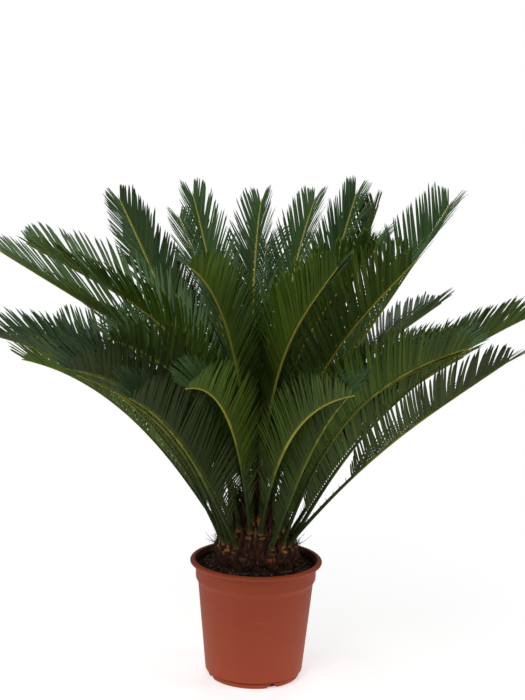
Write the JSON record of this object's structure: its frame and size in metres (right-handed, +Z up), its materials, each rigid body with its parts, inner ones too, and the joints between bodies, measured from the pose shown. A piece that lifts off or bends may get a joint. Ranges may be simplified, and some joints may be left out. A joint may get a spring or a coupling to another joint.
{
  "type": "potted sago palm",
  "caption": "Potted sago palm: a rosette of stiff arching comb-like fronds on a squat bark-covered trunk, in a round tapered nursery pot filled with soil.",
  "frame": {"origin": "centre of the pot's flat underside, on the surface it stands on", "axes": "+Z up along the pot's axis, -Y towards the plant's front, +X to the right seen from the front"},
  "size_m": [0.9628, 0.9469, 0.9014],
  "materials": {
    "terracotta_plastic": "satin",
    "potting_soil": "matte",
    "trunk_bark": "matte",
    "bud_felt": "matte",
    "frond_green": "satin"
  },
  "bodies": {
    "root": {"pot": "terracotta_plastic", "soil": "potting_soil", "trunk": "trunk_bark", "bud": "bud_felt", "frond_outer_01": "frond_green", "frond_outer_02": "frond_green", "frond_outer_03": "frond_green", "frond_outer_04": "frond_green", "frond_outer_05": "frond_green", "frond_outer_06": "frond_green", "frond_outer_07": "frond_green", "frond_outer_08": "frond_green", "frond_outer_09": "frond_green", "frond_outer_10": "frond_green", "frond_outer_11": "frond_green", "frond_outer_12": "frond_green", "frond_outer_13": "frond_green", "frond_outer_14": "frond_green", "frond_outer_15": "frond_green", "frond_middle_01": "frond_green", "frond_middle_02": "frond_green", "frond_middle_03": "frond_green", "frond_middle_04": "frond_green", "frond_middle_05": "frond_green", "frond_middle_06": "frond_green", "frond_middle_07": "frond_green", "frond_middle_08": "frond_green", "frond_middle_09": "frond_green", "frond_middle_10": "frond_green", "frond_middle_11": "frond_green", "frond_middle_12": "frond_green", "frond_middle_13": "frond_green", "frond_middle_14": "frond_green", "frond_middle_15": "frond_green", "frond_inner_01": "frond_green", "frond_inner_02": "frond_green", "frond_inner_03": "frond_green", "frond_inner_04": "frond_green", "frond_inner_05": "frond_green", "frond_inner_06": "frond_green", "frond_inner_07": "frond_green", "frond_inner_08": "frond_green"}
  },
  "joints": []
}
